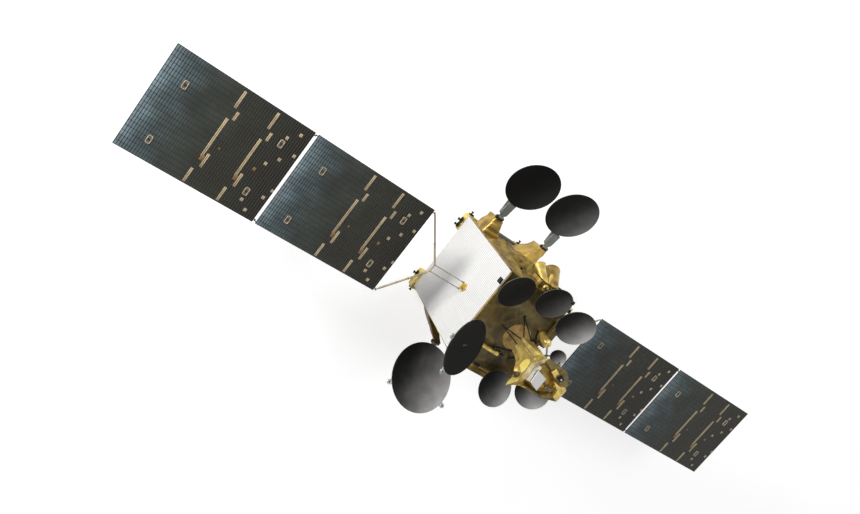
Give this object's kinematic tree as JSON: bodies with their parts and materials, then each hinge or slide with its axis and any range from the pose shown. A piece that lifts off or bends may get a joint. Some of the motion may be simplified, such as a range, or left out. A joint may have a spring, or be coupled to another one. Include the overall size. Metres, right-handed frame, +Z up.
{
  "type": "communications satellite",
  "caption": "Box-bodied communications satellite with two folding solar wings, deployed and steered dish reflectors and a feed tower, standing on its separation ring.",
  "frame": {"origin": "centre of the separation ring's lower face, on the surface it stands on", "axes": "+Z up from the ring towards the Earth deck, +Y north along the solar wings, +X east towards the twin reflectors"},
  "size_m": [6.1842, 17.464, 4.78],
  "materials": {
    "gold_film": "crinkled metallised film",
    "radiator_white": "white mirror tiles",
    "solar_cells": "covered cells",
    "yoke_tube": "wrapped composite tube",
    "graphite": "satin graphite",
    "grey_composite": "satin",
    "black_metal": "black anodised",
    "black_composite": "matt",
    "ring_alloy": "machined",
    "engine_steel": "heat-stained"
  },
  "bodies": {
    "drive_shaft_north_body": {"drive_shaft_north": "ring_alloy"},
    "yoke_north_body": {"yoke_north": "yoke_tube"},
    "inner_panel_north_body": {"inner_panel_north": "solar_cells"},
    "outer_panel_north_body": {"outer_panel_north": "solar_cells"},
    "drive_shaft_south_body": {"drive_shaft_south": "ring_alloy"},
    "yoke_south_body": {"yoke_south": "yoke_tube"},
    "inner_panel_south_body": {"inner_panel_south": "solar_cells"},
    "outer_panel_south_body": {"outer_panel_south": "solar_cells"},
    "reflector_east_north_body": {"arm_east_north": "grey_composite", "reflector_east_north": "graphite"},
    "reflector_east_south_body": {"arm_east_south": "grey_composite", "reflector_east_south": "graphite"},
    "reflector_west_body": {"arm_west": "grey_composite", "reflector_west": "graphite", "rim_tabs_west": "ring_alloy"},
    "gimbal_north_west_body": {"gimbal_north_west": "black_metal"},
    "dish_north_west_body": {"dish_north_west": "graphite", "rim_tabs_north_west": "ring_alloy"},
    "gimbal_north_east_body": {"gimbal_north_east": "black_metal"},
    "dish_north_east_body": {"dish_north_east": "graphite"},
    "gimbal_east_body": {"gimbal_east": "black_metal"},
    "dish_east_body": {"dish_east": "graphite"},
    "gimbal_south_east_body": {"gimbal_south_east": "black_metal"},
    "dish_south_east_body": {"dish_south_east": "graphite"},
    "gimbal_west_body": {"gimbal_west": "black_metal"},
    "dish_west_body": {"dish_west": "graphite"},
    "gimbal_south_west_body": {"gimbal_south_west": "black_metal"},
    "dish_south_west_body": {"dish_south_west": "graphite"},
    "bus": {"anti_earth_deck": "gold_film", "apogee_engine": "engine_steel", "bracket_east_north": "gold_film", "bracket_east_south": "gold_film", "bracket_west": "gold_film", "bus_body": "gold_film", "deck_cone": "gold_film", "deck_disc": "gold_film", "deck_units": "black_metal", "dish_posts": "gold_film", "dish_small": "graphite", "drive_housing_north": "gold_film", "drive_housing_south": "gold_film", "earth_deck": "gold_film", "east_rail": "grey_composite", "feed_east": "gold_film", "feed_west": "gold_film", "radiator_north": "radiator_white", "radiator_south": "radiator_white", "separation_ring": "ring_alloy", "star_sensor": "black_metal", "thruster_boxes": "gold_film", "thrusters": "black_metal", "tower_body": "gold_film", "tower_camera": "black_metal", "tower_horns": "black_metal", "tower_plate": "radiator_white", "tower_struts": "black_composite", "tower_unit": "gold_film"}
  },
  "joints": [
    {"name": "array_drive_north", "type": "hinge", "parent": "bus", "child": "drive_shaft_north_body", "pos_m": [0, 0.96, 2.09], "axis": [0, 1, 0], "continuous": true},
    {"name": "wing_fold_north", "type": "hinge", "parent": "drive_shaft_north_body", "child": "yoke_north_body", "pos_m": [0, 1.001, 2.09], "axis": [1, 0, 0], "range_deg": [-90, 0]},
    {"name": "inner_panel_fold_north", "type": "hinge", "parent": "yoke_north_body", "child": "inner_panel_north_body", "pos_m": [0, 2.644, 2.125], "axis": [1, 0, 0], "range_deg": [0, 180]},
    {"name": "outer_panel_fold_north", "type": "hinge", "parent": "inner_panel_north_body", "child": "outer_panel_north_body", "pos_m": [0, 5.706, 2.07], "axis": [1, 0, 0], "range_deg": [-180, 0]},
    {"name": "array_drive_south", "type": "hinge", "parent": "bus", "child": "drive_shaft_south_body", "pos_m": [0, -0.96, 2.09], "axis": [0, 1, 0], "continuous": true},
    {"name": "wing_fold_south", "type": "hinge", "parent": "drive_shaft_south_body", "child": "yoke_south_body", "pos_m": [0, -1.001, 2.09], "axis": [-1, 0, 0], "range_deg": [-90, 0]},
    {"name": "inner_panel_fold_south", "type": "hinge", "parent": "yoke_south_body", "child": "inner_panel_south_body", "pos_m": [0, -2.644, 2.125], "axis": [-1, 0, 0], "range_deg": [0, 180]},
    {"name": "outer_panel_fold_south", "type": "hinge", "parent": "inner_panel_south_body", "child": "outer_panel_south_body", "pos_m": [0, -5.706, 2.07], "axis": [-1, 0, 0], "range_deg": [-180, 0]},
    {"name": "reflector_east_north_hinge", "type": "hinge", "parent": "bus", "child": "reflector_east_north_body", "pos_m": [1.59, 0.66, 1], "axis": [0, -1, 0], "range_deg": [0, 65]},
    {"name": "reflector_east_south_hinge", "type": "hinge", "parent": "bus", "child": "reflector_east_south_body", "pos_m": [1.59, -0.82, 1], "axis": [0, -1, 0], "range_deg": [0, 65]},
    {"name": "reflector_west_hinge", "type": "hinge", "parent": "bus", "child": "reflector_west_body", "pos_m": [-1.59, 0.37, 1.74], "axis": [0, 1, 0], "range_deg": [0, 56]},
    {"name": "azimuth_north_west", "type": "hinge", "parent": "bus", "child": "gimbal_north_west_body", "pos_m": [-0.6, -0.215, 3.207], "axis": [0, 0, 1], "range_deg": [-10, 10]},
    {"name": "tilt_north_west", "type": "hinge", "parent": "gimbal_north_west_body", "child": "dish_north_west_body", "pos_m": [-0.6, -0.215, 3.255], "axis": [0.9987, -0.0515, 0], "range_deg": [-1.5, 10]},
    {"name": "azimuth_north_east", "type": "hinge", "parent": "bus", "child": "gimbal_north_east_body", "pos_m": [0.83, 0.73, 3.282], "axis": [0, 0, 1], "range_deg": [-10, 10]},
    {"name": "tilt_north_east", "type": "hinge", "parent": "gimbal_north_east_body", "child": "dish_north_east_body", "pos_m": [0.83, 0.73, 3.33], "axis": [0.7071, -0.7071, 0], "range_deg": [-10, 10]},
    {"name": "azimuth_east", "type": "hinge", "parent": "bus", "child": "gimbal_east_body", "pos_m": [1, -0.25, 3.207], "axis": [0, 0, 1], "range_deg": [-10, 10]},
    {"name": "tilt_east", "type": "hinge", "parent": "gimbal_east_body", "child": "dish_east_body", "pos_m": [1, -0.25, 3.255], "axis": [0, -1, 0], "range_deg": [-10, 10]},
    {"name": "azimuth_south_east", "type": "hinge", "parent": "bus", "child": "gimbal_south_east_body", "pos_m": [0.86, -0.79, 3.402], "axis": [0, 0, 1], "range_deg": [-10, 10]},
    {"name": "tilt_south_east", "type": "hinge", "parent": "gimbal_south_east_body", "child": "dish_south_east_body", "pos_m": [0.86, -0.79, 3.45], "axis": [-0.9487, -0.3162, 0], "range_deg": [-10, 10]},
    {"name": "azimuth_west", "type": "hinge", "parent": "bus", "child": "gimbal_west_body", "pos_m": [-1.02, -0.47, 3.217], "axis": [0, 0, 1], "range_deg": [-10, 10]},
    {"name": "tilt_west", "type": "hinge", "parent": "gimbal_west_body", "child": "dish_west_body", "pos_m": [-1.02, -0.47, 3.265], "axis": [0, 1, 0], "range_deg": [-10, 10]},
    {"name": "azimuth_south_west", "type": "hinge", "parent": "bus", "child": "gimbal_south_west_body", "pos_m": [-0.76, -0.8, 3.402], "axis": [0, 0, 1], "range_deg": [-10, 10]},
    {"name": "tilt_south_west", "type": "hinge", "parent": "gimbal_south_west_body", "child": "dish_south_west_body", "pos_m": [-0.76, -0.8, 3.45], "axis": [-0.995, 0.0995, 0], "range_deg": [-10, 10]}
  ],
  "couplings": [
    {"joint": "inner_panel_fold_north", "follows": "wing_fold_north", "ratio": -2},
    {"joint": "outer_panel_fold_north", "follows": "wing_fold_north", "ratio": 2},
    {"joint": "inner_panel_fold_south", "follows": "wing_fold_south", "ratio": -2},
    {"joint": "outer_panel_fold_south", "follows": "wing_fold_south", "ratio": 2}
  ]
}
